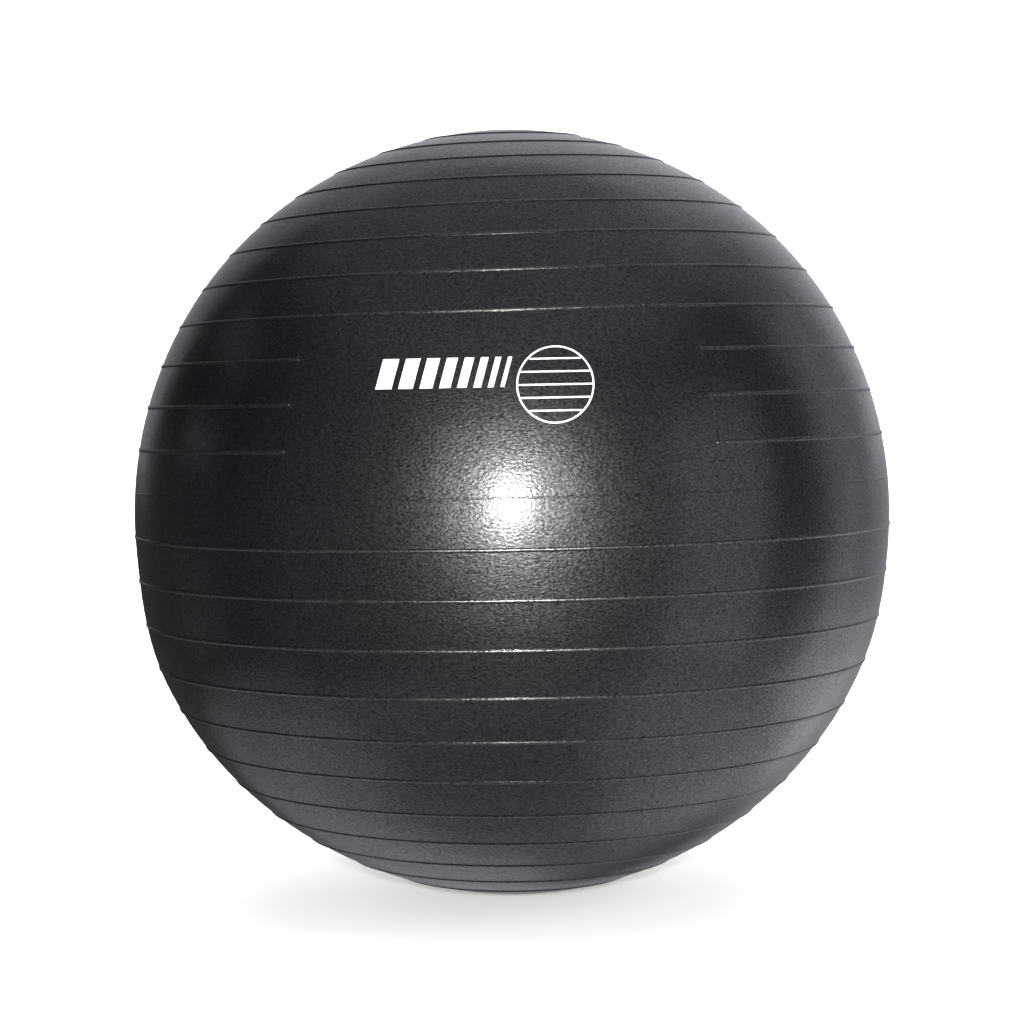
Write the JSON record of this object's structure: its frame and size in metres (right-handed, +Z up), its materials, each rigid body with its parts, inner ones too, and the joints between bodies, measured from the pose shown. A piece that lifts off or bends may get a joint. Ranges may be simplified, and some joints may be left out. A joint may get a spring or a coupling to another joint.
{
  "type": "exercise ball",
  "caption": "Inflatable ball with raised ring ribs, a smooth front panel and a plugged air valve at its crown, standing on a small flat contact patch.",
  "frame": {"origin": "centre of the flat contact patch on the floor, directly under the crown", "axes": "+Z up through the crown and the valve; -Y is the side with the smooth front panel and the printed mark; +X is to the right when facing that panel"},
  "size_m": [0.6434, 0.6434, 0.6496],
  "materials": {
    "skin": "satin black PVC with a fine leathery grain",
    "seat": "smooth black soft PVC",
    "plug": "natural white soft plastic",
    "ink": "opaque white screen-print ink"
  },
  "bodies": {
    "ball": {"ball_skin": "skin", "valve_seat": "seat", "printed_mark": "ink"},
    "plug": {"valve_plug": "plug"}
  },
  "joints": [
    {"name": "plug_pull", "type": "slide", "parent": "ball", "child": "plug", "axis": [0, 0, 1], "range_m": [0, 0.03]}
  ]
}
